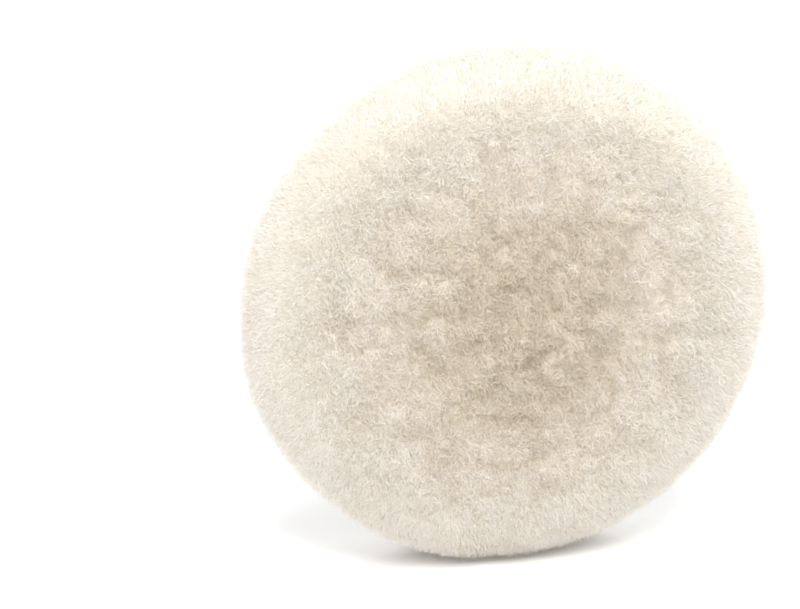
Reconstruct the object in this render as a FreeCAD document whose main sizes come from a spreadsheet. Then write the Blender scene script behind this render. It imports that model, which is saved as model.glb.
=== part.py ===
"""Sheepskin polishing pad with a sewn-on hook-and-loop backing.

The pad stands upright on its rim. It spins about the Y axis. The origin is the centre of the
loop face, which looks along +Y and meets the polisher's backing plate. The wool looks along -Y.
Layers, from the loop face inwards: loop nap, ground cloth, hide, wool. A doubled thread
overcasts the edge of the cloth and the hide.
"""

import FreeCAD, Part
import math
import os

import Sketcher

Vector = FreeCAD.Vector
SPIN_AXIS = Vector(0, 1, 0)
ORIGIN = Vector(0, 0, 0)
ORIGIN_POINT = (-1, 1)  # a sketch's own origin, as a constraint names it
VERTICAL_AXIS = -2  # a sketch's own vertical axis, as a constraint names it

# Driving dimensions, in millimetres and degrees.
SIZES = {
    "pad_diameter": 170,  # across the wool
    "pad_depth": 33,  # loop face to the crown of the wool
    "crown_radius": 640,  # of the gently bulging wool face
    "front_round": 18,  # rounding of the wool's front shoulder
    "back_round": 6.5,  # rounding of the wool's rear shoulder
    "ring_lip_round": 1.5,  # rounding where the wool ring turns in to the cloth
    "ring_bore_diameter": 152.8,  # inside of the wool ring behind the hide
    "ring_setback": 0.8,  # rear of the wool ring below the loop face
    "loop_diameter": 150,  # loop cloth, across the bulges between stitches
    "hide_diameter": 144.8,
    "nap_thickness": 1.8,
    "nap_edge_round": 1.2,
    "ground_thickness": 0.5,
    "hide_thickness": 1.4,
    "stitch_count": 56,
    "stitch_hole_radius": 64,  # circle that the needle holes lie on
    "stitch_run": 11,  # needle hole to the edge, along the stitch
    "stitch_slant": 27,  # lean of a stitch from the radius
    "strand_diameter": 1.2,
    "strand_spread": 1.25,  # angle about the spin axis between the two strands
    "strand_sink": 0.3,  # top of the thread below the loop face
    "strand_bend": 0.8,  # radius of the thread's bends
    "strand_play": 0.15,  # room left round the thread
    "seam_room": 3.2,  # room in the wool under the hide for the seam
    "seam_room_radius": 61.5,  # inner radius of that room
    "knot_width": 4.2,
    "knot_height": 2.6,
    "knot_breadth": 3,
    "end_knot_radius": 69.5,  # how far out the seam's last knot lies
}

doc = FreeCAD.newDocument("polishing_pad")


def make_sheet():
    """The spreadsheet that holds every driving dimension under its own name."""
    sheet = doc.addObject("Spreadsheet::Sheet", "sizes")
    for row, (alias, number) in enumerate(SIZES.items(), start=1):
        sheet.set(f"A{row}", str(number))
        sheet.setAlias(f"A{row}", alias)
    doc.recompute()
    return sheet


sizes = make_sheet()

# Expressions that several parts share.
STACK = "(sizes.nap_thickness + sizes.ground_thickness + sizes.hide_thickness)"
GROOVE_RADIUS = "(sizes.strand_diameter + 2 * sizes.strand_play)"
HOLE_RADIUS = "(sizes.strand_diameter / 2 + sizes.strand_play)"
HOLE_SPACING = "(2 * sizes.stitch_hole_radius * sin(sizes.strand_spread / 2 * 1 deg))"
GROOVE_DEPTH = "(sizes.strand_sink + sizes.strand_diameter + sizes.strand_play / 2)"
PAST_THE_EDGE = "(sizes.loop_diameter - 2 * sizes.stitch_hole_radius)"


def value(expression):
    """What an expression comes to, in millimetres or degrees."""
    return float(sizes.evalExpression(expression))


# ---------------------------------------------------------------- sketches and features


def origin_feature(body, role):
    """A body's own plane or axis, such as XZ_Plane."""
    return next(feature for feature in body.Origin.OriginFeatures if feature.Role == role)


def new_body(label):
    body = doc.addObject("PartDesign::Body", label)
    body.Label = label
    body.Placement = FreeCAD.Placement()
    return body


def new_sketch(body, name, plane="XZ_Plane"):
    sketch = body.newObject("Sketcher::SketchObject", name)
    sketch.AttachmentSupport = (origin_feature(body, plane), [""])
    sketch.MapMode = "FlatFace"
    return sketch


def constrain(sketch, kind, references, expression):
    """A dimension that follows the sheet."""
    index = sketch.addConstraint(Sketcher.Constraint(kind, *references, value(expression)))
    sketch.setExpression(f"Constraints[{index}]", expression)


def round_corner(sketch, line, radius):
    """Round the corner at a line's far end, and keep the corner's own point where it was."""
    end_point = 2
    sketch.fillet(line, end_point, value(radius), True, True)
    arc = sketch.GeometryCount - 1
    while sketch.Geometry[arc].TypeId != "Part::GeomArcOfCircle":
        arc -= 1
    constrain(sketch, "Radius", (arc,), radius)


def pad_disc(body, diameter, front, thickness):
    """A round layer, from `front` behind the loop face and `thickness` deep."""
    sketch = new_sketch(body, "disc_outline")
    sketch.setExpression("AttachmentOffset.Base.z", front)
    circle = sketch.addGeometry(Part.Circle(ORIGIN, Vector(0, 0, 1), value(diameter) / 2))
    sketch.addConstraint(Sketcher.Constraint("Coincident", circle, 3, *ORIGIN_POINT))
    constrain(sketch, "Diameter", (circle,), diameter)
    disc = body.newObject("PartDesign::Pad", "disc")
    disc.Profile = sketch
    disc.setExpression("Length", thickness)
    doc.recompute()
    return disc


def slot_sketch(body, name, start, turn, reach, radius, depth):
    """A round-ended slot that runs from `start` for `reach`, turned from the radius by `turn`.

    `start` is a pair of expressions, across and up, and `depth` is where the slot's sketch lies.
    """
    sketch = new_sketch(body, name)
    sketch.setExpression("AttachmentOffset.Base.x", start[0])
    sketch.setExpression("AttachmentOffset.Base.y", start[1])
    sketch.setExpression("AttachmentOffset.Base.z", depth)
    sketch.setExpression("AttachmentOffset.Rotation.Angle", f"-({turn}) * 1 deg")
    length, half = value(reach), value(radius)
    foot = Part.Circle(ORIGIN, Vector(0, 0, 1), half)
    head = Part.Circle(Vector(0, length, 0), Vector(0, 0, 1), half)
    foot_arc = sketch.addGeometry(Part.ArcOfCircle(foot, math.pi, 2 * math.pi))
    head_arc = sketch.addGeometry(Part.ArcOfCircle(head, 0, math.pi))
    right = sketch.addGeometry(Part.LineSegment(Vector(half, 0, 0), Vector(half, length, 0)))
    left = sketch.addGeometry(Part.LineSegment(Vector(-half, length, 0), Vector(-half, 0, 0)))
    sketch.addConstraint(Sketcher.Constraint("Coincident", foot_arc, 3, *ORIGIN_POINT))
    sketch.addConstraint(Sketcher.Constraint("PointOnObject", head_arc, 3, VERTICAL_AXIS))
    sketch.addConstraint(Sketcher.Constraint("Tangent", foot_arc, 2, right, 1))
    sketch.addConstraint(Sketcher.Constraint("Tangent", right, 2, head_arc, 1))
    sketch.addConstraint(Sketcher.Constraint("Tangent", head_arc, 2, left, 1))
    sketch.addConstraint(Sketcher.Constraint("Tangent", left, 2, foot_arc, 1))
    constrain(sketch, "Radius", (foot_arc,), radius)
    constrain(sketch, "DistanceY", (*ORIGIN_POINT, head_arc, 3), reach)
    return sketch


def cut_pocket(body, name, sketch, depth):
    """A pocket towards the wool, checked to take material away."""
    before = body.Tip.Shape.Volume
    pocket = body.newObject("PartDesign::Pocket", name)
    pocket.Profile = sketch
    pocket.Reversed = True
    pocket.setExpression("Length", depth)
    doc.recompute()
    if pocket.Shape.Volume >= before:
        raise RuntimeError(f"{body.Label}: {name} cuts nothing")
    return pocket


def repeat_round(body, features):
    """One copy of the features for each stitch, round the spin axis."""
    before = body.Tip.Shape.Volume
    pattern = body.newObject("PartDesign::PolarPattern", "every_stitch")
    pattern.Originals = features
    pattern.Axis = (origin_feature(body, "Y_Axis"), [""])
    pattern.Angle = 360
    pattern.setExpression("Occurrences", "sizes.stitch_count")
    body.Tip = pattern
    doc.recompute()
    if pattern.Shape.Volume >= before:
        raise RuntimeError(f"{body.Label}: the pattern repeats nothing")


def round_edges(body, name, wanted, radius):
    """Fillet the circular edges at the wanted (radius, distance along Y) pairs of expressions."""
    shape = body.Tip.Shape
    rims = [(value(rim), value(place)) for rim, place in wanted]
    names = []
    for number, edge in enumerate(shape.Edges, start=1):
        if edge.Degenerated or edge.Curve.TypeId != "Part::GeomCircle":
            continue
        found = (edge.Curve.Radius, edge.Curve.Center.y)
        if any(math.dist(found, rim) < Part.Precision.approximation() for rim in rims):
            names.append(f"Edge{number}")
    if len(names) != len(wanted):
        raise RuntimeError(f"{body.Label}: {name} found {len(names)} of {len(wanted)} edges")
    base = body.Tip
    fillet = body.newObject("PartDesign::Fillet", name)
    fillet.Base = (base, names)
    fillet.setExpression("Radius", radius)
    body.Tip = fillet
    doc.recompute()
    return fillet


# ---------------------------------------------------------------- the layers


def needle_hole(body, depth, thickness):
    """The hole that both strands pass through, at the inner end of the first stitch."""
    start = (f"-{HOLE_SPACING} / 2", "sizes.stitch_hole_radius")
    sketch = slot_sketch(body, "needle_hole_outline", start, "90", HOLE_SPACING, HOLE_RADIUS, depth)
    return cut_pocket(body, "needle_hole", sketch, thickness)


def edge_notch(body, depth, thickness):
    """The place where the first stitch pulls the cloth's edge in."""
    start = (
        "sizes.stitch_run * sin(sizes.stitch_slant * 1 deg)",
        "sizes.stitch_hole_radius + sizes.stitch_run * cos(sizes.stitch_slant * 1 deg)",
    )
    turn = "sizes.stitch_slant"
    sketch = slot_sketch(
        body, "edge_notch_outline", start, turn, PAST_THE_EDGE, GROOVE_RADIUS, depth
    )
    return cut_pocket(body, "edge_notch", sketch, thickness)


def stitch_groove(body):
    """The groove that the first stitch presses into the nap, from its hole past the edge."""
    start = ("0", "sizes.stitch_hole_radius")
    turn = "sizes.stitch_slant"
    reach = f"sizes.stitch_run + {PAST_THE_EDGE}"
    sketch = slot_sketch(body, "stitch_groove_outline", start, turn, reach, GROOVE_RADIUS, "0")
    return cut_pocket(body, "stitch_groove", sketch, GROOVE_DEPTH)


def make_loop_nap():
    """Raised loops: a soft disc whose edge bulges between the stitches."""
    body = new_body("backing_loop_nap")
    pad_disc(body, "sizes.loop_diameter", "0", "sizes.nap_thickness")
    rim = ("sizes.loop_diameter / 2", "0")
    round_edges(body, "soft_edge", [rim], "sizes.nap_edge_round")
    hole = needle_hole(body, "0", "sizes.nap_thickness")
    notch = edge_notch(body, "0", "sizes.nap_thickness")
    groove = stitch_groove(body)
    repeat_round(body, [hole, notch, groove])
    return body


def make_ground_cloth():
    """Knitted ground of the loop cloth, notched by the stitches like the nap on it."""
    body = new_body("backing_ground_cloth")
    front = "sizes.nap_thickness"
    pad_disc(body, "sizes.loop_diameter", front, "sizes.ground_thickness")
    hole = needle_hole(body, front, "sizes.ground_thickness")
    notch = edge_notch(body, front, "sizes.ground_thickness")
    repeat_round(body, [hole, notch])
    return body


def make_hide():
    """Tanned skin that the wool grows from, cut a little smaller than the cloth."""
    body = new_body("sheepskin_hide")
    front = "sizes.nap_thickness + sizes.ground_thickness"
    pad_disc(body, "sizes.hide_diameter", front, "sizes.hide_thickness")
    hole = needle_hole(body, front, "sizes.hide_thickness")
    repeat_round(body, [hole])
    return body


def wool_face(sketch, rim, crown):
    """The crowned face and the round shoulder that joins it to the rim, with the arcs' far end.

    The shoulder lies inside the crown's circle and touches it, so their centres are the
    difference of their radii apart.
    """
    crown_radius, round_radius = value("sizes.crown_radius"), value("sizes.front_round")
    crown_centre = Vector(0, crown_radius + value(crown), 0)
    inset = value(rim) - round_radius
    drop = math.sqrt((crown_radius - round_radius) ** 2 - inset**2)
    shoulder_centre = Vector(inset, crown_centre.y - drop, 0)
    toward_shoulder = math.atan2(-drop, inset)
    straight_down = -math.pi / 2
    sphere = Part.Circle(crown_centre, Vector(0, 0, 1), crown_radius)
    torus = Part.Circle(shoulder_centre, Vector(0, 0, 1), round_radius)
    face = sketch.addGeometry(Part.ArcOfCircle(sphere, straight_down, toward_shoulder))
    shoulder = sketch.addGeometry(Part.ArcOfCircle(torus, toward_shoulder, 0))
    sketch.addConstraint(Sketcher.Constraint("Tangent", face, 2, shoulder, 1))
    sketch.addConstraint(Sketcher.Constraint("PointOnObject", face, 3, VERTICAL_AXIS))
    constrain(sketch, "Radius", (face,), "sizes.crown_radius")
    constrain(sketch, "Radius", (shoulder,), "sizes.front_round")
    return face, shoulder, shoulder_centre


def make_wool():
    """The fleece: a crowned puck whose rim wraps round behind the edge of the hide."""
    body = new_body("wool_pile")
    sketch = new_sketch(body, "half_section", "XY_Plane")
    rim = "sizes.pad_diameter / 2"
    bore = "sizes.ring_bore_diameter / 2"
    floor = f"-({STACK} + sizes.seam_room)"
    crown = "-sizes.pad_depth"
    corners = [
        ("0", f"-{STACK}"),
        ("sizes.seam_room_radius", f"-{STACK}"),
        ("sizes.seam_room_radius", floor),
        (bore, floor),
        (bore, "-sizes.ring_setback"),
        (rim, "-sizes.ring_setback"),
    ]
    points = [Vector(value(across), value(along), 0) for across, along in corners]
    walls = [sketch.addGeometry(Part.LineSegment(*ends)) for ends in zip(points, points[1:])]
    face, shoulder, shoulder_centre = wool_face(sketch, rim, crown)
    shoulder_end = Vector(value(rim), shoulder_centre.y, 0)
    outside = sketch.addGeometry(Part.LineSegment(points[-1], shoulder_end))
    axis = sketch.addGeometry(Part.LineSegment(Vector(0, value(crown), 0), points[0]))
    for wall, following in zip(walls, [*walls[1:], outside]):
        sketch.addConstraint(Sketcher.Constraint("Coincident", wall, 2, following, 1))
    sketch.addConstraint(Sketcher.Constraint("Tangent", outside, 2, shoulder, 2))
    sketch.addConstraint(Sketcher.Constraint("Coincident", face, 1, axis, 1))
    sketch.addConstraint(Sketcher.Constraint("Coincident", axis, 2, walls[0], 1))
    sketch.addConstraint(Sketcher.Constraint("Vertical", outside))
    sketch.addConstraint(Sketcher.Constraint("PointOnObject", axis, 1, VERTICAL_AXIS))
    sketch.addConstraint(Sketcher.Constraint("PointOnObject", axis, 2, VERTICAL_AXIS))
    constrain(sketch, "DistanceY", (*ORIGIN_POINT, axis, 1), crown)
    constrain(sketch, "DistanceY", (*ORIGIN_POINT, axis, 2), corners[0][1])
    for wall, (across, along) in zip(walls, corners[1:]):
        constrain(sketch, "DistanceX", (*ORIGIN_POINT, wall, 2), across)
        constrain(sketch, "DistanceY", (*ORIGIN_POINT, wall, 2), along)
    bore_wall, ring_back = walls[-2:]
    round_corner(sketch, bore_wall, "sizes.ring_lip_round")
    round_corner(sketch, ring_back, "sizes.back_round")
    fleece = body.newObject("PartDesign::Revolution", "fleece")
    fleece.Profile = sketch
    fleece.ReferenceAxis = (origin_feature(body, "Y_Axis"), [""])
    fleece.Angle = 360
    doc.recompute()
    return body


# ---------------------------------------------------------------- the thread


def around(radius, angle, depth):
    """A point `radius` from the spin axis, `angle` degrees from +Z towards +X, `depth` deep."""
    turn = math.radians(angle)
    return Vector(radius * math.sin(turn), -depth, radius * math.cos(turn))


def bent_path(points, bend):
    """Straight runs through the points, joined by arcs that touch both runs."""
    edges = []
    run_start = points[0]
    for before, corner, after in zip(points, points[1:], points[2:]):
        back = (before - corner).normalize()
        ahead = (after - corner).normalize()
        half_opening = back.getAngle(ahead) / 2
        cut = bend / math.tan(half_opening)
        to_arc = bend / math.sin(half_opening) - bend
        middle = corner + (back + ahead).normalize() * to_arc
        run_end = corner + back * cut
        next_start = corner + ahead * cut
        edges.append(Part.LineSegment(run_start, run_end).toShape())
        edges.append(Part.Arc(run_end, middle, next_start).toShape())
        run_start = next_start
    edges.append(Part.LineSegment(run_start, points[-1]).toShape())
    return Part.Wire(edges)


def seam_layout():
    """Where the seam's turns lie: radii and angles about the spin axis, and depths."""
    hole = value("sizes.stitch_hole_radius")
    run = value("sizes.stitch_run")
    slant = math.radians(value("sizes.stitch_slant"))
    across = run * math.sin(slant)
    up = hole + run * math.cos(slant)
    strand = value("sizes.strand_diameter")
    stack = value(STACK)
    return {
        "hole_radius": hole,
        "edge_radius": math.hypot(across, up),
        "lean": math.degrees(math.atan2(across, up)),
        "pitch": 360 / value("sizes.stitch_count"),
        "over": value("sizes.strand_sink") + strand / 2,
        "under": stack + value("sizes.strand_play") + strand / 2,
        "knot": stack + value("sizes.strand_play") + value("sizes.knot_height") / 2,
    }


def strand_route(offset):
    """One strand's corners, turned by `offset` degrees: over the cloth, round, and back under."""
    seam = seam_layout()
    hole, edge = seam["hole_radius"], seam["edge_radius"]
    over, under = seam["over"], seam["under"]
    turns = int(value("sizes.stitch_count"))
    route = [around(hole, offset, seam["knot"])]
    for turn in range(turns):
        start = turn * seam["pitch"] + offset
        route.append(around(hole, start, over))
        route.append(around(edge, start + seam["lean"], over))
        route.append(around(edge, start + seam["lean"], under))
        if turn < turns - 1:
            route.append(around(hole, start + seam["pitch"], under))
    route.append(around(value("sizes.end_knot_radius"), start + seam["lean"], under))
    return route


def make_strand(label, side):
    """One strand of the doubled thread, swept along its whole seam."""
    strand = doc.addObject("Part::Feature", label)
    strand.Label = label
    route = strand_route(side * value("sizes.strand_spread") / 2)
    path = bent_path(route, value("sizes.strand_bend"))
    radius = value("sizes.strand_diameter") / 2
    section = Part.Wire([Part.Circle(route[0], SPIN_AXIS, radius).toShape()])
    strand.Shape = path.makePipeShell([section], True, False)
    strand.Placement = FreeCAD.Placement()
    expected = math.pi * radius**2 * path.Length
    if abs(strand.Shape.Volume / expected - 1) > 0.01:
        raise RuntimeError(f"{label}: {strand.Shape.Volume:.0f} mm3, expected {expected:.0f}")
    print(f"{label}: {path.Length:.0f} mm of thread")
    return strand


def make_knot(label, radius, angle, strands):
    """A pulled-tight knot under the hide, with both strands running into it."""
    seam = seam_layout()
    lump = doc.addObject("Part::Ellipsoid", f"{label}_lump")
    lump.setExpression("Radius1", "sizes.knot_height / 2")
    lump.setExpression("Radius2", "sizes.knot_breadth / 2")
    lump.setExpression("Radius3", "sizes.knot_width / 2")
    # An ellipsoid's first radius lies along its own Z, its second along X, its third along Y.
    upright = FreeCAD.Rotation(Vector(1, 0, 0), 90) * FreeCAD.Rotation(Vector(0, 0, 1), 90)
    facing_out = FreeCAD.Rotation(SPIN_AXIS, angle)
    lump.Placement = FreeCAD.Placement(around(radius, angle, seam["knot"]), facing_out * upright)
    thread = doc.addObject("Part::Compound", f"{label}_thread")
    thread.Links = strands
    knot = doc.addObject("Part::Cut", label)
    knot.Label = label
    knot.Base = lump
    knot.Tool = thread
    return knot


def make_seam():
    """The doubled thread and the two knots that tie its strands together."""
    strands = [make_strand("stitch_strand_a", -1), make_strand("stitch_strand_b", 1)]
    seam = seam_layout()
    last_turn = (value("sizes.stitch_count") - 1) * seam["pitch"] + seam["lean"]
    first = make_knot("thread_start_knot", seam["hole_radius"], 0, strands)
    last = make_knot("thread_end_knot", value("sizes.end_knot_radius"), last_turn, strands)
    return [*strands, first, last]


# ---------------------------------------------------------------- build and write


def check(parts):
    """Stop if any object failed, or if a part isn't one sound solid."""
    doc.recompute()
    failed = [item.Name for item in doc.Objects if {"Invalid", "Error"} & set(item.State)]
    if failed:
        raise RuntimeError(f"failed objects: {failed}")
    for part in parts:
        shape = part.Shape
        if shape.isNull() or not shape.isValid() or len(shape.Solids) != 1:
            raise RuntimeError(f"{part.Label} isn't one valid solid")


def write(parts):
    os.makedirs("parts", exist_ok=True)
    for part in parts:
        part.Shape.exportStep(f"parts/{part.Label}.step")
        print(f"{part.Label}: {part.Shape.Volume / 1000:.2f} cm3")


pieces = [make_wool(), make_hide(), make_ground_cloth(), make_loop_nap(), *make_seam()]
check(pieces)
write(pieces)
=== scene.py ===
"""The sheepskin polishing pad's looks: fleece, loop cloth and overcast seam, in the CAD's frame.

Lengths are in millimetres until a mesh is made, and meshes are in metres. A place on the pad is
its radius from the spin axis (Y), its angle from +Z towards +X, and its height along +Y. The
loop face is at height 0 and the wool looks along -Y.
"""

import itertools
import math

import bpy
import numpy as np
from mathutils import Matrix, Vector
from mathutils.kdtree import KDTree


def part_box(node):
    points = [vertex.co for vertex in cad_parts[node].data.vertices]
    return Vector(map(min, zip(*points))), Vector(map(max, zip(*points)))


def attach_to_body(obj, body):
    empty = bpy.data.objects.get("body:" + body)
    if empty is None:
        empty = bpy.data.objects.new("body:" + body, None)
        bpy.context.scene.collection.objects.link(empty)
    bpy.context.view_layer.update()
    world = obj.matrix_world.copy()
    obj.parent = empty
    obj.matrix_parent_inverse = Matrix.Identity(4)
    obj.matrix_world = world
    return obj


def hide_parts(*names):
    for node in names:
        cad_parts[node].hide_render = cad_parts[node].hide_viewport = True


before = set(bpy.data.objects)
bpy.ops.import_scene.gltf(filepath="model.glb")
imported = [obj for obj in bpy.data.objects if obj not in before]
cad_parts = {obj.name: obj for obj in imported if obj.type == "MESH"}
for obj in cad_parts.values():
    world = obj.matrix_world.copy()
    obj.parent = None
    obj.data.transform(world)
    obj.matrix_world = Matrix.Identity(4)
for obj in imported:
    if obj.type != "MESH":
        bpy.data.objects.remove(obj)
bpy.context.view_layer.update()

MM = 0.001
ROOT = "root"
FULL_TURN = 2 * math.pi
SPIN_AXIS = np.array([0.0, 1.0, 0.0])

# -------- sizes from the frame


def box_mm(node):
    """A node's lowest and highest corners, in millimetres."""
    low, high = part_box(node)
    return np.array(low) / MM, np.array(high) / MM


WOOL_LOW, WOOL_HIGH = box_mm("wool_pile")
NAP_LOW, NAP_HIGH = box_mm("backing_loop_nap")
HIDE_LOW, HIDE_HIGH = box_mm("sheepskin_hide")

PAD_RADIUS = WOOL_HIGH[0]
PAD_FACE = WOOL_LOW[1]  # height of the wool's crown
RING_BACK = WOOL_HIGH[1]  # height of the wool ring's rear
NAP_BACK = NAP_LOW[1]
HIDE_FACE = HIDE_LOW[1]  # height of the skin's wool side

# The seam, as the CAD sews it.
STITCHES = 56
PITCH = FULL_TURN / STITCHES
HOLE_RADIUS = 64
STITCH_RUN = 11
STITCH_SLANT = math.radians(27)
STRAND_SPREAD = math.radians(1.25)  # angle between the two strands
SEAM_TOP = -0.9  # height of a strand's centre over the cloth
SEAM_UNDER = HIDE_FACE - 0.75  # height of a strand's centre under the hide
SEAM_ROOM_DEPTH = HIDE_FACE - 3.2
SEAM_ROOM_RADIUS = 61.5

# -------- numbers and noise


def smoothstep(low, high, values):
    """0 up to low, 1 from high on, and a smooth rise between."""
    share = np.clip((values - low) / (high - low), 0, 1)
    return share * share * (3 - 2 * share)


# Large odd numbers that scatter a cell's coordinates and its seed.
HASH_STEPS = np.array([73856093, 19349663, 83492791])
HASH_SEED_STEP = 2654435761
HASH_MIXER = 1274126177


def hashed(cells, seed):
    """A fixed random number from -1 to 1 for each whole-numbered cell."""
    mixed = cells @ HASH_STEPS + seed * HASH_SEED_STEP
    mixed = (mixed ^ (mixed >> 13)) * HASH_MIXER
    mixed ^= mixed >> 16
    return (mixed & 0xFFFF) / 32767.5 - 1


def noise(points, cell, seed):
    """Smooth random numbers from about -1 to 1, with features about `cell` across."""
    grid = points / cell
    corner = np.floor(grid).astype(np.int64)
    part = grid - corner
    part = part * part * (3 - 2 * part)
    total = np.zeros(points.shape[:-1])
    for step in itertools.product((0, 1), repeat=3):
        near = np.where(step, part, 1 - part).prod(axis=-1)
        total += near * hashed(corner + np.array(step), seed)
    return total


def noise_vectors(points, cell, seed):
    """Three noises at once, as a vector at each point."""
    return np.stack([noise(points, cell, seed + k) for k in range(3)], axis=-1)


def unit(vectors):
    """Vectors scaled to a length of 1."""
    return vectors / np.maximum(np.linalg.norm(vectors, axis=-1, keepdims=True), 1e-12)


def around(radius, angle, height):
    """Points at a radius, an angle and a height about the spin axis."""
    radius, angle, height = np.broadcast_arrays(radius, angle, height)
    return np.stack([radius * np.sin(angle), height, radius * np.cos(angle)], axis=-1)


def radius_of(points):
    """How far points are from the spin axis."""
    return np.hypot(points[..., 0], points[..., 2])


RIM_BEGINS = 45
RIM_IS_FULL = 80


def rim_share(radius):
    """0 over the middle of the pad, rising to 1 at its rim."""
    return smoothstep(RIM_BEGINS, RIM_IS_FULL, radius)


# -------- meshes


def mesh_object(name, points, faces, materials, shades=None):
    """A smooth mesh from points in millimetres and faces with equally many corners."""
    mesh = bpy.data.meshes.new(name)
    corners = faces.shape[1]
    mesh.vertices.add(len(points))
    mesh.vertices.foreach_set("co", (points * MM).astype(np.float32).ravel())
    mesh.loops.add(faces.size)
    mesh.loops.foreach_set("vertex_index", faces.astype(np.int32).ravel())
    mesh.polygons.add(len(faces))
    mesh.polygons.foreach_set("loop_start", np.arange(0, faces.size, corners, dtype=np.int32))
    for material in materials:
        mesh.materials.append(material)
    if shades is not None:
        mesh.polygons.foreach_set("material_index", shades.astype(np.int32))
    mesh.update(calc_edges=True)
    mesh.shade_smooth()
    piece = bpy.data.objects.new(name, mesh)
    bpy.context.scene.collection.objects.link(piece)
    return piece


def tubes(lines, radii, sides, seed):
    """Closed tubes along many lines at once: (points, triangles, the row each triangle is in).

    lines is (tubes, rows, 3) and radii is (tubes, rows). The last row is the pointed tip.
    """
    count, rows, _ = lines.shape
    rng = np.random.default_rng(seed)
    along = unit(np.gradient(lines, axis=1))
    across = unit(np.cross(along, rng.normal(size=(count, 1, 3))))
    upward = np.cross(along, across)
    turn = FULL_TURN * np.arange(sides) / sides
    spokes = across[:, :-1, None] * np.cos(turn)[:, None]
    spokes += upward[:, :-1, None] * np.sin(turn)[:, None]
    rings = lines[:, :-1, None] + spokes * radii[:, :-1, None, None]
    points = np.concatenate([rings.reshape(count, -1, 3), lines[:, -1:]], axis=1)
    triangles, row_of = tube_pattern(rows, sides)
    first = np.arange(count)[:, None, None] * points.shape[1]
    return points.reshape(-1, 3), (triangles + first).reshape(-1, 3), np.tile(row_of, count)


def tube_pattern(rows, sides):
    """The triangles of one tube with a flat foot and a pointed tip, and each one's row."""
    triangles, row_of = [], []
    for side in range(1, sides - 1):
        triangles.append((0, side + 1, side))
        row_of.append(0)
    for row, side in itertools.product(range(rows - 2), range(sides)):
        a, b = row * sides + side, row * sides + (side + 1) % sides
        triangles += [(a, b, b + sides), (a, b + sides, a + sides)]
        row_of += [row, row]
    tip = (rows - 1) * sides
    for side in range(sides):
        low = (rows - 2) * sides
        triangles.append((low + side, low + (side + 1) % sides, tip))
        row_of.append(rows - 2)
    return np.array(triangles), np.array(row_of)


def ring_skin(rings):
    """A closed skin over rings of points, (rows, columns, 3): (points, triangles facing out).

    The first and the last ring each close on their own middle.
    """
    rows, columns, _ = rings.shape
    row, column = np.meshgrid(np.arange(rows - 1), np.arange(columns), indexing="ij")
    here = row * columns + column
    beside = row * columns + (column + 1) % columns
    quads = np.stack([here, here + columns, beside + columns, beside], axis=-1).reshape(-1, 4)
    start = np.arange(columns)
    after = (start + 1) % columns
    middle, last = rows * columns, (rows - 1) * columns
    first_cap = np.stack([np.full(columns, middle), start, after], -1)
    last_cap = np.stack([np.full(columns, middle + 1), last + after, last + start], -1)
    points = np.concatenate([rings.reshape(-1, 3), rings[[0, -1]].mean(axis=1)])
    triangles = np.concatenate([quads[:, :3], quads[:, [0, 2, 3]], first_cap, last_cap])
    one, two, three = points[triangles].transpose(1, 0, 2)
    if (one * np.cross(two, three)).sum() < 0:
        triangles = triangles[:, ::-1]
    return points, triangles


# -------- materials


def srgb(red, green, blue):
    """A colour given as 0 to 255 screen values, as a shader takes it."""
    levels = np.array([red, green, blue]) / 255
    linear = np.where(levels <= 0.04045, levels / 12.92, ((levels + 0.055) / 1.055) ** 2.4)
    return (*linear, 1)


def new_material(name, colour, roughness, sheen=0.0, gloss=0.2):
    """A material with its shader and its plain values, ready for nodes."""
    material = bpy.data.materials.new(name)
    material.use_nodes = True
    shader = material.node_tree.nodes["Principled BSDF"]
    shader.inputs["Base Color"].default_value = colour
    shader.inputs["Roughness"].default_value = roughness
    shader.inputs["Specular IOR Level"].default_value = gloss
    shader.inputs["Sheen Weight"].default_value = sheen
    return material, material.node_tree, shader


def place_coordinates(tree, stretch=(1, 1, 1)):
    """The piece's own coordinates in millimetres, stretched along the axes."""
    where = tree.nodes.new("ShaderNodeTexCoord")
    scaled = tree.nodes.new("ShaderNodeMapping")
    scaled.inputs["Scale"].default_value = [factor / MM for factor in stretch]
    tree.links.new(where.outputs["Object"], scaled.inputs["Vector"])
    return scaled.outputs["Vector"]


def noise_node(tree, vector, cell, detail=3.0, roughness=0.6):
    """Procedural noise with features about `cell` millimetres across."""
    node = tree.nodes.new("ShaderNodeTexNoise")
    node.inputs["Scale"].default_value = 1 / cell
    node.inputs["Detail"].default_value = detail
    node.inputs["Roughness"].default_value = roughness
    tree.links.new(vector, node.inputs["Vector"])
    return node.outputs["Fac"]


def ramp_node(tree, factor, stops):
    """A colour ramp with (position, colour) stops."""
    node = tree.nodes.new("ShaderNodeValToRGB")
    elements = node.color_ramp.elements
    while len(elements) < len(stops):
        elements.new(0.5)
    for element, (position, colour) in zip(elements, stops):
        element.position = position
        element.color = colour
    tree.links.new(factor, node.inputs["Fac"])
    return node.outputs["Color"]


def bump_node(tree, height, strength, distance):
    """A bumped normal, from a height that stands for `distance` millimetres."""
    node = tree.nodes.new("ShaderNodeBump")
    node.inputs["Strength"].default_value = strength
    node.inputs["Distance"].default_value = distance * MM
    tree.links.new(height, node.inputs["Height"])
    return node.outputs["Normal"]


WOOL_BEIGE_RADIUS = 25  # the core is beige this far from the pad's middle
WOOL_WHITE_RADIUS = 85  # and whitest from here on


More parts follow.
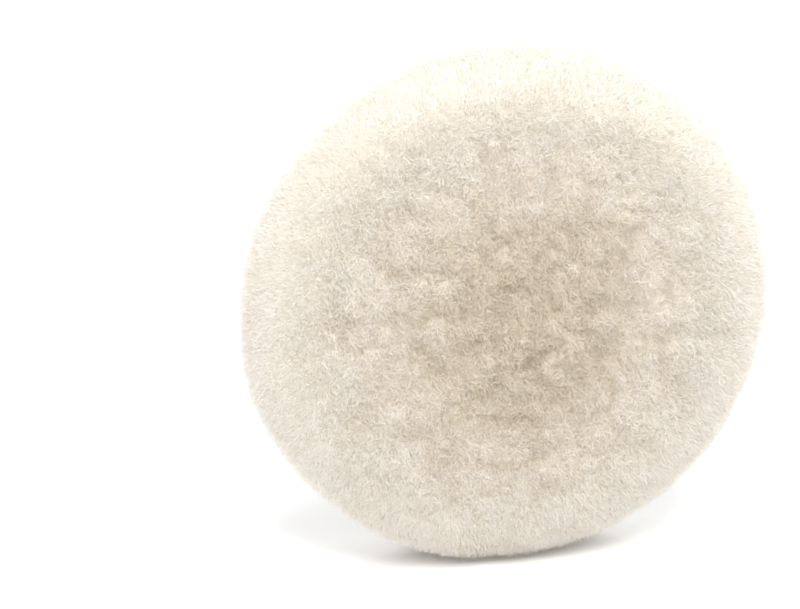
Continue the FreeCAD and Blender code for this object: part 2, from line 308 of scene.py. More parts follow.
def wool_under_material():
    """Wool of the core: mottled beige in the middle of the pad, and near white at its rim, which
    is partly painted light.
    """
    material, tree, shader = new_material("wool_under", srgb(235, 226, 206), 0.95, sheen=0.2)
    place = place_coordinates(tree)
    from_middle = tree.nodes.new("ShaderNodeVectorMath")
    from_middle.operation = "LENGTH"
    tree.links.new(place, from_middle.inputs[0])
    rim = tree.nodes.new("ShaderNodeMapRange")
    rim.inputs["From Min"].default_value = WOOL_BEIGE_RADIUS
    rim.inputs["From Max"].default_value = WOOL_WHITE_RADIUS
    tree.links.new(from_middle.outputs["Value"], rim.inputs["Value"])
    stops = [(0.3, srgb(226, 215, 192)), (0.7, srgb(240, 232, 215))]
    beige = ramp_node(tree, noise_node(tree, place, 3.5), stops)
    # Partly painted light: the blend to near white at the rim stands in part for the brighter
    # light that falls round the rim, and in part for paler wool.
    blend = tree.nodes.new("ShaderNodeMix")
    blend.data_type = "RGBA"
    blend.inputs["B"].default_value = srgb(247, 243, 235)
    tree.links.new(rim.outputs["Result"], blend.inputs["Factor"])
    tree.links.new(beige, blend.inputs["A"])
    tree.links.new(blend.outputs["Result"], shader.inputs["Base Color"])
    curls = noise_node(tree, place, 0.7, detail=5)
    tree.links.new(bump_node(tree, curls, 0.8, 0.6), shader.inputs["Normal"])
    return material


WOOL_SHADES = [
    ("wool_deep", srgb(224, 212, 191)),
    ("wool_tan", srgb(232, 222, 204)),
    ("wool_beige", srgb(239, 230, 215)),
    ("wool_cream", srgb(245, 237, 226)),
    ("wool_pale", srgb(249, 244, 235)),
    ("wool_ivory", srgb(252, 248, 241)),
    ("wool_white", srgb(254, 251, 247)),
]


def wool_fibre_materials():
    """Wool fibres, from the shaded foot of a lock to a bleached tip."""
    return [new_material(name, colour, 0.85, sheen=0.25)[0] for name, colour in WOOL_SHADES]


def hide_material():
    """Suede side of a tanned skin, with a grain of fine pores."""
    material, tree, shader = new_material("sheepskin_suede", srgb(205, 184, 150), 0.85, sheen=0.2)
    place = place_coordinates(tree)
    stops = [(0.35, srgb(186, 162, 126)), (0.65, srgb(216, 196, 163))]
    dye = ramp_node(tree, noise_node(tree, place, 9), stops)
    tree.links.new(dye, shader.inputs["Base Color"])
    pores = noise_node(tree, place, 0.4, detail=6)
    tree.links.new(bump_node(tree, pores, 0.5, 0.2), shader.inputs["Normal"])
    return material


def knit_material():
    """Black warp knit: fine wales one way, courses the other."""
    material, tree, shader = new_material("warp_knit", srgb(24, 23, 22), 0.8, sheen=0.1)
    place = place_coordinates(tree, stretch=(1.2, 1, 0.6))
    wales = tree.nodes.new("ShaderNodeTexWave")
    wales.inputs["Scale"].default_value = 0.35
    wales.inputs["Distortion"].default_value = 1.5
    tree.links.new(place, wales.inputs["Vector"])
    stops = [(0.2, srgb(12, 12, 11)), (0.8, srgb(38, 37, 35))]
    tree.links.new(ramp_node(tree, wales.outputs["Fac"], stops), shader.inputs["Base Color"])
    tree.links.new(bump_node(tree, wales.outputs["Fac"], 0.7, 0.15), shader.inputs["Normal"])
    return material


def nap_material():
    """Brushed black loops seen from above: matted, speckled, dull."""
    material, tree, shader = new_material("brushed_loops", srgb(18, 17, 16), 0.9, gloss=0.05)
    place = place_coordinates(tree)
    tufts = noise_node(tree, place, 0.55, detail=4, roughness=0.7)
    stops = [(0.35, srgb(3, 3, 3)), (0.55, srgb(13, 12, 11)), (0.75, srgb(36, 34, 31))]
    tree.links.new(ramp_node(tree, tufts, stops), shader.inputs["Base Color"])
    tree.links.new(bump_node(tree, tufts, 1.0, 0.5), shader.inputs["Normal"])
    return material


LOOP_SHADES = [
    ("loop_black", srgb(7, 7, 6)),
    ("loop_charcoal", srgb(22, 21, 19)),
    ("loop_worn", srgb(58, 55, 50)),
]


def loop_materials():
    """Single loops of the nap, a few of them worn paler."""
    return [new_material(name, colour, 0.75, gloss=0.08)[0] for name, colour in LOOP_SHADES]


def thread_material():
    """Soft white spun thread, mottled by its fluff."""
    light, dark = srgb(240, 238, 231), srgb(206, 202, 190)
    material, tree, shader = new_material("white_thread", light, 0.8, sheen=0.3)
    place = place_coordinates(tree)
    fluff = noise_node(tree, place, 0.5, detail=5)
    mottled = ramp_node(tree, fluff, [(0.3, dark), (0.6, light)])
    tree.links.new(mottled, shader.inputs["Base Color"])
    tree.links.new(bump_node(tree, fluff, 0.5, 0.12), shader.inputs["Normal"])
    return material


def thread_hair_material():
    """Single fine hairs of the thread."""
    return new_material("thread_hair", srgb(244, 242, 236), 0.8, sheen=0.3)[0]


# -------- the fleece's outline

CROWN_RADIUS = 640
FRONT_ROUND = 18
BACK_ROUND = 6.5
LIP_ROUND = 1.5
RING_BORE = 76.4
OUTLINE_STEP = 0.5


def arc(centre, radius, start, end):
    """Points along an arc in the (radius, height) half-plane, angles in radians."""
    count = max(3, int(abs(end - start) * radius / OUTLINE_STEP))
    turn = np.linspace(start, end, count)
    return np.stack([centre[0] + radius * np.cos(turn), centre[1] + radius * np.sin(turn)], -1)


def straight(start, end):
    """Points along a straight run in the (radius, height) half-plane."""
    count = max(2, int(math.dist(start, end) / OUTLINE_STEP))
    return np.linspace(start, end, count)


def fleece_outline():
    """The wool's outer half-section, from the middle of its face to the foot of its bore."""
    inset = PAD_RADIUS - FRONT_ROUND
    rise = math.sqrt((CROWN_RADIUS - FRONT_ROUND) ** 2 - inset**2)
    crown_centre = (0, PAD_FACE + CROWN_RADIUS)
    shoulder_centre = (inset, crown_centre[1] - rise)
    lean = math.atan2(-rise, inset)
    rear_centre = (PAD_RADIUS - BACK_ROUND, RING_BACK - BACK_ROUND)
    lip_centre = (RING_BORE + LIP_ROUND, RING_BACK - LIP_ROUND)
    quarter = math.pi / 2
    runs = [
        arc(crown_centre, CROWN_RADIUS, -quarter, lean),
        arc(shoulder_centre, FRONT_ROUND, lean, 0),
        straight((PAD_RADIUS, shoulder_centre[1]), (PAD_RADIUS, rear_centre[1])),
        arc(rear_centre, BACK_ROUND, 0, quarter),
        arc(lip_centre, LIP_ROUND, quarter, 2 * quarter),
        straight((RING_BORE, lip_centre[1]), (RING_BORE, SEAM_ROOM_DEPTH)),
    ]
    points = np.concatenate([runs[0], *(run[1:] for run in runs[1:])])
    keep = np.linalg.norm(np.diff(points, axis=0), axis=1) > 1e-6
    points = points[np.concatenate([[True], keep])]
    along = np.gradient(points, axis=0)
    outward = unit(np.stack([along[:, 1], -along[:, 0]], axis=-1))
    return points, outward


OUTLINE, OUTWARD = fleece_outline()
OUTLINE_REACH = np.concatenate([[0], np.cumsum(np.linalg.norm(np.diff(OUTLINE, axis=0), axis=1))])

# Depth of the pile under each part of the outline.
PILE_FACE = 1.7
PILE_RIM = 0.4
PILE_REAR = 1.4
PILE_BORE = 0.4

# The stretches that turn one depth into the next, as (start, end).
RIM_RADII = (55, RIM_IS_FULL)
REAR_RADII = (72, 76)
REAR_HEIGHTS = (-16, -2.5)
BORE_RADII = (79, 76.6)
BORE_HEIGHTS = (-9, -7)


def pile_depth(radius, height):
    """How far the wool's matted core lies under the outline."""
    depth = PILE_FACE + (PILE_RIM - PILE_FACE) * smoothstep(*RIM_RADII, radius)
    rear = smoothstep(*REAR_HEIGHTS, height) * smoothstep(*REAR_RADII, radius)
    depth = depth + (PILE_REAR - depth) * rear
    bore = smoothstep(*BORE_RADII, radius) * smoothstep(*BORE_HEIGHTS, height)
    return depth + (PILE_BORE - depth) * bore


CORE_DEPTH = pile_depth(OUTLINE[:, 0], OUTLINE[:, 1])
CORE = OUTLINE - OUTWARD * CORE_DEPTH[:, None]
CORE[:, 0] = np.maximum(CORE[:, 0], 0)


def along_core(reach):
    """(radius, height), outward direction and pile depth at distances along the outline."""
    pick = [np.interp(reach, OUTLINE_REACH, column) for column in (*CORE.T, *OUTWARD.T)]
    depth = np.interp(reach, OUTLINE_REACH, CORE_DEPTH)
    return np.stack(pick[:2], -1), unit(np.stack(pick[2:], -1)), depth


def swing(flat, angle):
    """(radius, height) pairs turned to their angles about the spin axis."""
    return around(flat[..., 0], angle, flat[..., 1])


# A parting in the wool a little below the middle of the face: its ends (x, z), width and depth.
PARTING_START = np.array([0.0, -14.0])
PARTING_END = np.array([9.0, -8.0])
PARTING_WIDTH = 2.6
PARTING_DEPTH = 1.5
PARTING_WANDER = 2.2


def parting(points):
    """1 in the middle of the parting, and falling softly to 0 beside it."""
    run = PARTING_END - PARTING_START
    place = points[..., [0, 2]] - PARTING_START
    share = np.clip(place @ run / (run @ run), 0, 1)
    wander = PARTING_WANDER * noise(points, cell=4, seed=14)
    gap = np.linalg.norm(place - share[..., None] * run, axis=-1) + wander
    return np.exp(-((gap / PARTING_WIDTH) ** 2)) * (points[..., 1] < HIDE_FACE)


BROAD_LUMP = {"cell": 13, "seed": 11}
SMALL_LUMP = {"cell": 5.5, "seed": 12}
TINY_LUMP = {"cell": 2.6, "seed": 13}
RIM_SWELL = {"cell": 28, "seed": 15}
LUMPS_LEVEL = 1.35  # the lumps' middle height, which stays on the core
RIM_CALM = 0.8  # how far the lumps give way to a slow swell at the rim


def core_lumps(points):
    """Uneven felting of the core, in millimetres along its outward direction."""
    broad = 1.6 * np.abs(noise(points, **BROAD_LUMP)) ** 0.7
    small = 1.5 * np.abs(noise(points, **SMALL_LUMP)) ** 0.8
    tiny = 0.8 * np.abs(noise(points, **TINY_LUMP))
    clumps = broad + small + tiny - LUMPS_LEVEL - PARTING_DEPTH * parting(points)
    calm = RIM_CALM * rim_share(radius_of(points))
    return clumps * (1 - calm) + calm * noise(points, **RIM_SWELL)


def towards_clumps(points):
    """The way a clump's wool leans: up the slope of the felting, which opens the partings."""
    step = 0.6
    here = core_lumps(points)
    slopes = [core_lumps(points + step * axis) - here for axis in np.eye(3)]
    return np.stack(slopes, axis=-1) / step


CORE_COLUMNS = 400
HIDE_GAP = 0.05  # between the core and the hide that lies on it


def make_fleece_core():
    """The matted wool that the visible fibres grow out of: one closed, lumpy turned form."""
    angle = FULL_TURN * np.arange(CORE_COLUMNS) / CORE_COLUMNS
    outer = swing(CORE[1:, None], angle)
    direction = swing(OUTWARD[1:, None], angle)
    outer = outer + direction * core_lumps(outer)[..., None]
    hidden = [
        (RING_BORE, SEAM_ROOM_DEPTH),
        (SEAM_ROOM_RADIUS, SEAM_ROOM_DEPTH),
        (SEAM_ROOM_RADIUS, HIDE_FACE - HIDE_GAP),
        (1.0, HIDE_FACE - HIDE_GAP),
    ]
    inner = swing(np.array(hidden)[:, None], angle)
    points, triangles = ring_skin(np.concatenate([outer, inner]))
    return mesh_object("fleece_core", points, triangles, [wool_under_material()])


# -------- the fleece's fibres

FIBRES = 182000
LOCKS = 7000
FIBRE_ROWS = 4
FIBRE_SIDES = 3
FIBRE_RADIUS = 0.068
FIBRE_TAPER = np.array([1.0, 1.0, 0.75, 0])
FLEECE_SECTORS = 24
BORE_FIBRES_END = -2.0  # height in the ring's bore below which nothing shows

# Steps of the R2 sequence, which fills a square evenly, and how far its places are shaken.
SHARE_STEP = 0.7548776662466927
TURN_STEP = 0.5698402909980532
SPREAD_JITTER = 0.25


def even_spread(count, last_reach, seed):
    """Places spread evenly over the fleece: distances along the outline, and angles."""
    steps = np.diff(OUTLINE_REACH) * (OUTLINE[1:, 0] + OUTLINE[:-1, 0]) / 2
    covered = np.concatenate([[0], np.cumsum(steps)])
    covered /= np.interp(last_reach, OUTLINE_REACH, covered)
    rng = np.random.default_rng(seed)
    index = np.arange(count)
    share = (index * SHARE_STEP + rng.random()) % 1
    turn = (index * TURN_STEP + rng.random()) % 1
    jitter = SPREAD_JITTER / math.sqrt(count)
    share = np.clip(share + rng.normal(0, jitter, count), 0, 1)
    turn = turn + rng.normal(0, jitter, count)
    return np.interp(share, covered, OUTLINE_REACH), FULL_TURN * turn


def nearest_lock(roots, locks):
    """The number of the lock that each root is nearest to."""
    tree = KDTree(len(locks))
    for index, place in enumerate(locks):
        tree.insert(place, index)
    tree.balance()
    return np.array([tree.find(root)[1] for root in roots])


# Values that change from the middle of the pad to its rim, as (middle, rim).
STAND_OUT = (1.2, 2.4)  # how far a fibre's length passes the outline
LEAN_SHARE = (1, 0.4)  # of the lean that fibres share
OWN_LEAN_SHARE = (1, 0.65)  # of the lean that is a fibre's own
BOW = (0.66, 0.36)  # sideways reach of the tip, per length
BOW_DROP = (0.22, 0)  # height that the bow costs the tip, per length
GATHER = (0.42, 0.15)  # how far the tips of a lock draw together
CURL = (0.42, 0.27)  # radius of the curl at the tip

# How far things lean away from the core's outward direction, which has length 1.
FLOW_LEAN = 0.35  # a slow drift over the whole fleece
FLOW_CELL = 14
CLUMP_LEAN = 0.5  # towards the middle of a clump
LOCK_LEAN = 0.2
OWN_LEAN = 0.33
COMB_OUT = 0.25  # away from the spin axis at the rim
COMB_OUT_REAR = 0.5  # and more behind it
LIP_IN = 1.2  # the ring's lip leans in over the cloth
LIP_BACK = 0.7
LIP_RADII = (80.5, 77.5)  # where the lip starts and is full

REAR_SHORTER = 0.3
REAR_SHARE_HEIGHTS = (-8, -1)
LOCK_HEIGHT_SPREAD = 0.06
FIBRE_HEIGHT_SPREAD = 0.15
HEIGHT_LIMITS = (0.55, 1.5)
GATHER_SPREAD = 0.15
GATHER_POWER = 1.6
LOCK_BOW = 0.5  # how alike the bows of one lock are
CURL_TURNS = (0.4, 0.9)
CURL_POWER = 1.2
UNEVEN_THICKNESS = (0.7, 1.3)


def towards_rim(pair, rim):
    """The first value in the middle of the pad, the second at its rim."""
    middle, edge = pair
    return middle + (edge - middle) * rim


def crossways(ways, vectors):
    """What is left of vectors once their part along the ways is taken off."""
    return vectors - (vectors * ways).sum(-1, keepdims=True) * ways


def rear_share(height):
    """0 over the pad's side, rising to 1 on the rear of its wool ring."""
    return smoothstep(*REAR_SHARE_HEIGHTS, height)


def fibre_ways(rng, root, normal, flat, lock):
    """The direction in which each fibre leaves the core."""
    rim = rim_share(flat[:, 0])
    rear = rear_share(flat[:, 1])
    lip = rear * smoothstep(*LIP_RADII, flat[:, 0])
    radial = unit(root * (1 - SPIN_AXIS))
    comb = radial * (COMB_OUT * rim + COMB_OUT_REAR * rear - LIP_IN * lip)[:, None]
    comb += SPIN_AXIS * (LIP_BACK * lip)[:, None]
    flow = noise_vectors(root, FLOW_CELL, seed=31)
    shared = FLOW_LEAN * flow + CLUMP_LEAN * towards_clumps(root)
    shared += rng.normal(0, LOCK_LEAN, (LOCKS, 3))[lock]
    shared *= towards_rim(LEAN_SHARE, rim)[:, None]
    own = rng.normal(0, OWN_LEAN, (FIBRES, 3)) * towards_rim(OWN_LEAN_SHARE, rim)[:, None]
    return unit(normal + shared + own + comb)


def fibre_lengths(rng, flat, depth, lock):
    """Long enough to pass the outline, a little uneven, and shorter on the ring's rear."""
    uneven = 1 + LOCK_HEIGHT_SPREAD * rng.normal(size=LOCKS)[lock]
    uneven += FIBRE_HEIGHT_SPREAD * rng.normal(size=FIBRES)
    length = depth + towards_rim(STAND_OUT, rim_share(flat[:, 0]))
    return length * (1 - REAR_SHORTER * rear_share(flat[:, 1])) * np.clip(uneven, *HEIGHT_LIMITS)


def fibre_lines():
    """The middle line of every fibre, its lock and its root."""
    rng = np.random.default_rng(5)
    last_reach = OUTLINE_REACH[-1] - (BORE_FIBRES_END - SEAM_ROOM_DEPTH)
    lock_reach, lock_angle = even_spread(LOCKS, last_reach, seed=1)
    lock_flat, _, _ = along_core(lock_reach)
    lock_root = swing(lock_flat, lock_angle)
    reach, angle = even_spread(FIBRES, last_reach, seed=2)
    flat, out, depth = along_core(reach)
    root = swing(flat, angle)
    normal = swing(out, angle)
    root = root + normal * core_lumps(root)[:, None]
    lock = nearest_lock(root, lock_root)

    rim = rim_share(flat[:, 0])
    way = fibre_ways(rng, root, normal, flat, lock)
    length = fibre_lengths(rng, flat, depth, lock)
    gather = towards_rim(GATHER, rim) + GATHER_SPREAD * rng.normal(size=FIBRES)
    bow = rng.normal(size=(FIBRES, 3)) + LOCK_BOW * rng.normal(size=(LOCKS, 3))[lock]
    bow = unit(crossways(way, bow)) * towards_rim(BOW, rim)[:, None]
    aside = crossways(way, root - lock_root[lock])

    rise = np.linspace(0, 1, FIBRE_ROWS)[None, :, None]
    climb = length[:, None, None] * rise
    drop = towards_rim(BOW_DROP, rim)[:, None, None]
    line = root[:, None] + way[:, None] * (climb * (1 - drop * rise))
    line += bow[:, None] * climb * rise
    line -= aside[:, None] * (gather[:, None, None] * rise**GATHER_POWER)
    line += curl(rng, way, rim, lock, rise)
    return line, lock, root


def curl(rng, way, rim, lock, rise):
    """The offset of each fibre's rows from a plain bow: part of a turn, wider towards the tip."""
    side = unit(np.cross(way, rng.normal(size=(LOCKS, 3))[lock]))
    upward = np.cross(way, side)
    phase = rng.uniform(0, FULL_TURN, FIBRES)
    turns = rng.uniform(*CURL_TURNS, FIBRES)
    swirl = phase[:, None] + FULL_TURN * turns[:, None] * rise[..., 0]
    width = towards_rim(CURL, rim)[:, None] * rise[..., 0] ** CURL_POWER
    offset = side[:, None] * (width * np.cos(swirl))[..., None]
    return offset + upward[:, None] * (width * np.sin(swirl))[..., None]


# The rim's paler shades are partly paler wool and partly painted light, for the brighter light
# that falls round the rim.
TONE_MIDDLE = 1.7  # the shade in WOOL_SHADES that the middle of the pad takes
TONE_RISE = 3.7  # and how many shades paler the rim is
PALING = (0.1, 0.88)  # where that starts and ends, as shares of the pad's radius
CALMING = (0.5, 0.95)  # and where the mottling fades
PATCHES = {7: 51, 3.2: 52}  # cell and seed of the mottling
PATCH_TONE = 0.9
# Painted shade: fibres in the valleys between the core's lumps and in the parting take darker
# shades, for the shade that falls in these creases.
VALLEY_SHADE = 0.9
VALLEY_LEVEL = 0.25
PARTING_SHADE = 1.6
LOCK_TONE_SPREAD = 0.35
FIBRE_TONE_SPREAD = 0.12
FOOT_TONE = 1.2  # how much darker a fibre's foot is
FOOT_FADE = 0.6  # and how much of that is lost with each row


def fibre_shades(rows_of_faces, lock, root):
    """Each face's shade: by its fibre's lock and place, and darker towards the foot. The valleys
    and the parting get painted shade, and the paler rim is partly painted light.
    """
    rng = np.random.default_rng(8)
    outward = radius_of(root) / PAD_RADIUS
    patch = sum(PATCH_TONE * noise(root, cell, seed) for cell, seed in PATCHES.items())
    # painted shade in the valleys between the lumps and in the parting
    valley_shade = VALLEY_SHADE * smoothstep(VALLEY_LEVEL, 0, np.abs(noise(root, **BROAD_LUMP)))
    valley_shade += PARTING_SHADE * parting(root)
    # paler towards the rim: partly paler wool, partly painted light
    tone = TONE_MIDDLE + TONE_RISE * smoothstep(*PALING, outward)
    tone += (patch - valley_shade) * (1 - RIM_CALM * smoothstep(*CALMING, outward))
    tone += LOCK_TONE_SPREAD * rng.normal(size=LOCKS)[lock]
    tone += FIBRE_TONE_SPREAD * rng.normal(size=len(lock))
    per_face = np.repeat(tone, len(rows_of_faces) // len(lock))
    foot = np.clip(FOOT_TONE - FOOT_FADE * rows_of_faces, 0, None)
    return np.clip(np.round(per_face - foot), 0, len(WOOL_SHADES) - 1)


def make_fleece_fibres(materials):
    """Every fibre of the pile, in sectors small enough to handle."""
    line, lock, root = fibre_lines()
    rng = np.random.default_rng(9)
    radii = FIBRE_RADIUS * rng.uniform(*UNEVEN_THICKNESS, (FIBRES, 1)) * FIBRE_TAPER
    angle = np.arctan2(root[:, 0], root[:, 2]) % FULL_TURN
    sector = (angle / FULL_TURN * FLEECE_SECTORS).astype(int) % FLEECE_SECTORS
    pieces = []
    for number in range(FLEECE_SECTORS):
        own = sector == number
        points, faces, row_of = tubes(line[own], radii[own], FIBRE_SIDES, number)
        shades = fibre_shades(row_of, lock[own], root[own])
        name = f"fleece_fibres_{number + 1:02d}"
        pieces.append(mesh_object(name, points, faces, materials, shades))
    return pieces


# -------- the seam's layout

STITCH_OUT = HOLE_RADIUS + STITCH_RUN * math.cos(STITCH_SLANT)
STITCH_ASIDE = STITCH_RUN * math.sin(STITCH_SLANT)
STITCH_LEAN = math.atan2(STITCH_ASIDE, STITCH_OUT)  # from a stitch's hole to its edge
EDGE_RADIUS = math.hypot(STITCH_ASIDE, STITCH_OUT)
HOLE_ANGLE_SPREAD = 0.006
EDGE_ANGLE_SPREAD = 0.010
HOLE_RADIUS_SPREAD = 0.35
BESIDE_LIMIT = 1.15  # times a stitch's length


def sewn_by_hand():
    """Each stitch's hole angle, edge angle and hole radius: even, but not quite."""
    rng = np.random.default_rng(3)
    turn = PITCH * np.arange(STITCHES)
    hole = turn + rng.normal(0, HOLE_ANGLE_SPREAD, STITCHES)
    edge = turn + STITCH_LEAN + rng.normal(0, EDGE_ANGLE_SPREAD, STITCHES)
    return hole, edge, HOLE_RADIUS + rng.normal(0, HOLE_RADIUS_SPREAD, STITCHES)


HOLE_ANGLE, EDGE_ANGLE, HOLE_REACH = sewn_by_hand()


def round_the_pad(column, values, whole=0.0):
    """A stitch's value at any column, where column 0 is the first stitch and 1 is the next."""
    again = np.concatenate([values, [values[0] + whole]])
    return np.interp(column % STITCHES, np.arange(STITCHES + 1), again)


def beside_stitches(radius, column):
    """The angle at a radius of a line that runs beside the stitches, by its column."""
    hole = round_the_pad(column, HOLE_ANGLE, FULL_TURN)
    edge = round_the_pad(column, EDGE_ANGLE, FULL_TURN)
    share = np.clip((radius - HOLE_RADIUS) / (EDGE_RADIUS - HOLE_RADIUS), 0, BESIDE_LIMIT)
    return hole + (edge - hole) * share


# -------- the loop cloth

NOTCH_RADIUS = 72.9
FINGER_RADIUS = 75.5
FINGER_SPREAD = 0.3
FINGER_SQUARENESS = 2.6
NAP_TOP = -0.3
NAP_ROLL = 0.9  # radius of its rolled edge
NAP_MATTING = ((0.13, 0.9, 61), (0.13, 2.3, 62), (0.1, 7, 63))  # height, cell and seed
NAP_PUFF = 0.28  # how far the cloth puffs up between stitches
PUFF_BEGINS = 64
PUFF_IS_FULL = 71
GROOVE_DEPTH = 1.3
GROOVE_WIDTH = 1.7
GROOVE_BEGINS = -1.8  # outwards from the stitch's hole
GROOVE_IS_FULL = 0.3
GROOVE_CALM = 0.6  # how far a groove flattens the matting


def finger(column):
    """0 in the notch of a stitch, and 1 at the middle of the puffed edge beside it."""
    off_middle = np.abs(2 * (column % 1) - 1)
    return (1 - off_middle**FINGER_SQUARENESS) ** 0.5


def cloth_edge(column):
    """The cloth's outer radius: rounded fingers between the stitches, no two the same."""
    rng = np.random.default_rng(4)
    tip = FINGER_RADIUS + rng.normal(0, FINGER_SPREAD, STITCHES)
    own_tip = tip[(column % STITCHES).astype(int)]
    return NOTCH_RADIUS + (own_tip - NOTCH_RADIUS) * finger(column)


def nap_height(radius, column):
    """The height of the nap's top: matted lumps, grooves under the stitches, puffs between."""
    place = around(radius, beside_stitches(radius, column), 0)
    matted = sum(height * noise(place, cell, seed) for height, cell, seed in NAP_MATTING)
    aside = (column - np.round(column)) * PITCH * radius * math.cos(STITCH_SLANT)
    past_hole = radius - round_the_pad(column, HOLE_REACH)
    sewn = smoothstep(GROOVE_BEGINS, GROOVE_IS_FULL, past_hole)
    pressed = np.exp(-((aside / GROOVE_WIDTH) ** 4)) * sewn
    puff = NAP_PUFF * finger(column) * smoothstep(PUFF_BEGINS, PUFF_IS_FULL, radius)
    return NAP_TOP + matted * (1 - GROOVE_CALM * pressed) + puff - GROOVE_DEPTH * pressed


NAP_COLUMNS = 14  # to a stitch
NAP_OPEN_RADIUS = 60  # inside it the nap's rings are a millimetre apart
NAP_SEWN_RINGS = 32  # and outside it this many follow the scallops
NAP_ROLL_ROWS = 8
NAP_ROLL_LUMPS = 0.15
NAP_UNDER_RADII = np.array([66.0, 40.0, 1.0])


def make_nap():
    """The raised side of the loop cloth as one matted sheet with a rolled, scalloped edge."""
    column = np.arange(STITCHES * NAP_COLUMNS) / NAP_COLUMNS
    roll_starts = cloth_edge(column) - NAP_ROLL
    inner = np.arange(1.0, NAP_OPEN_RADIUS)[:, None] + 0 * column
    share = np.linspace(0, 1, NAP_SEWN_RINGS)[:, None]
    outer = NAP_OPEN_RADIUS + (roll_starts - NAP_OPEN_RADIUS) * share
    radius = np.concatenate([inner, outer])
    top = around(radius, beside_stitches(radius, column), nap_height(radius, column))

    turn = np.linspace(0, math.pi, NAP_ROLL_ROWS)[1:, None]
    rim_top = nap_height(roll_starts, column)
    middle, half = (rim_top + NAP_BACK) / 2, (rim_top - NAP_BACK) / 2
    roll_radius = roll_starts + NAP_ROLL * np.sin(turn)
    roll = around(roll_radius, beside_stitches(roll_radius, column), middle + half * np.cos(turn))
    roll += NAP_ROLL_LUMPS * noise_vectors(roll, cell=1.1, seed=65) * np.sin(turn)[..., None]

    under_radius = NAP_UNDER_RADII[:, None] + 0 * column
    under = around(under_radius, beside_stitches(under_radius, column), NAP_BACK)
    points, triangles = ring_skin(np.concatenate([top, roll, under]))
    return mesh_object("loop_nap_cloth", points, triangles, [nap_material()])


DISC_RINGS = 23
DISC_HUB = 0.02  # radius of a disc's first ring, as a share of its flat part
DISC_ROLL_ROWS = 6


def cloth_disc(name, edge, column, low, high, material):
    """A thin disc of cloth or skin with a soft edge, from its outer radius at each column."""
    roll = (high - low) / 2
    turn = np.linspace(0, math.pi, DISC_ROLL_ROWS)[:, None]
    flat = np.linspace(DISC_HUB, 1, DISC_RINGS, endpoint=False)[:, None] * (edge - roll)
    radius = np.concatenate([flat, edge - roll + roll * np.sin(turn), flat[::-1]])
    edge_height = (high + low) / 2 + roll * np.cos(turn[:, 0])
    height = np.concatenate([np.full(DISC_RINGS, high), edge_height, np.full(DISC_RINGS, low)])
    rings = around(radius, beside_stitches(radius, column), height[:, None])
    points, triangles = ring_skin(rings)
    return mesh_object(name, points, triangles, [material])


GROUND_COLUMNS = 10  # to a stitch
GROUND_INSET = 0.4  # from the edge of the nap
HIDE_COLUMNS = 6
HIDE_INSET = 0.35
HIDE_WAVER = 0.3


def make_ground():
    """The knit that carries the loops, cut and notched like them."""
    low, high = (corner[1] for corner in box_mm("backing_ground_cloth"))
    column = np.arange(STITCHES * GROUND_COLUMNS) / GROUND_COLUMNS
    edge = cloth_edge(column) - GROUND_INSET
    return cloth_disc("ground_knit", edge, column, low, high, knit_material())


def make_hide():
    """The tanned skin, cut by hand a little out of round."""
    column = np.arange(STITCHES * HIDE_COLUMNS) / HIDE_COLUMNS
    waver = noise(around(1.0, column / STITCHES * FULL_TURN, 0), cell=0.25, seed=71)
    edge = HIDE_HIGH[0] - HIDE_INSET + HIDE_WAVER * waver
    return cloth_disc("hide_skin", edge, column, HIDE_FACE, HIDE_HIGH[1], hide_material())


HAIR_SIDES = 3  # of a loop or a loose hair

LOOPS = 24000
LOOP_SECTORS = 6
LOOP_ROWS = 6
LOOP_RADIUS = 0.085
LOOP_SPAN = (0.4, 1.1)
LOOP_HEIGHT = (0.25, 0.6)
LOOP_LEAN = 0.25
LOOP_SUNK = 0.12  # how deep a loop's feet are in the nap
LOOP_INSET = 0.4  # from the edge of the cloth
LOOP_SHADE_SHARES = (0.6, 0.27, 0.13)
BRUSHED = np.array([0.0, 0.0, -1.0])
BRUSH_SPREAD = 0.75


def make_loops(materials):
    """Small matted loops all over the nap, brushed one way, in sectors."""
    rng = np.random.default_rng(12)
    column = rng.uniform(0, STITCHES, LOOPS)
    radius = np.sqrt(rng.uniform(0, 1, LOOPS)) * (cloth_edge(column) - LOOP_INSET)
    height = nap_height(radius, column) - LOOP_SUNK
    root = around(radius, beside_stitches(radius, column), height)
    run = unit(BRUSHED + rng.normal(0, BRUSH_SPREAD, (LOOPS, 3)) * (1 - SPIN_AXIS))
    aside = np.cross(run, SPIN_AXIS)
    rise = np.linspace(0, 1, LOOP_ROWS)[None, :, None]
    span = rng.uniform(*LOOP_SPAN, (LOOPS, 1, 1))
    peak = rng.uniform(*LOOP_HEIGHT, (LOOPS, 1, 1))
    lean = rng.normal(0, LOOP_LEAN, (LOOPS, 1, 1))
    line = root[:, None] + run[:, None] * span * rise
    line += aside[:, None] * lean * np.sin(math.pi * rise)
    line += SPIN_AXIS * peak * np.sin(math.pi * rise**0.8)
    radii = LOOP_RADIUS * rng.uniform(*UNEVEN_THICKNESS, (LOOPS, 1)) * np.ones(LOOP_ROWS)
    shade = rng.choice(len(LOOP_SHADES), LOOPS, p=LOOP_SHADE_SHARES)
    sector = (column / STITCHES * LOOP_SECTORS).astype(int)
    pieces = []
    for number in range(LOOP_SECTORS):
        own = sector == number
        points, faces, row_of = tubes(line[own], radii[own], HAIR_SIDES, number)
        shades = np.repeat(shade[own], len(row_of) // own.sum())
        pieces.append(mesh_object(f"nap_loops_{number + 1}", points, faces, materials, shades))
    return pieces


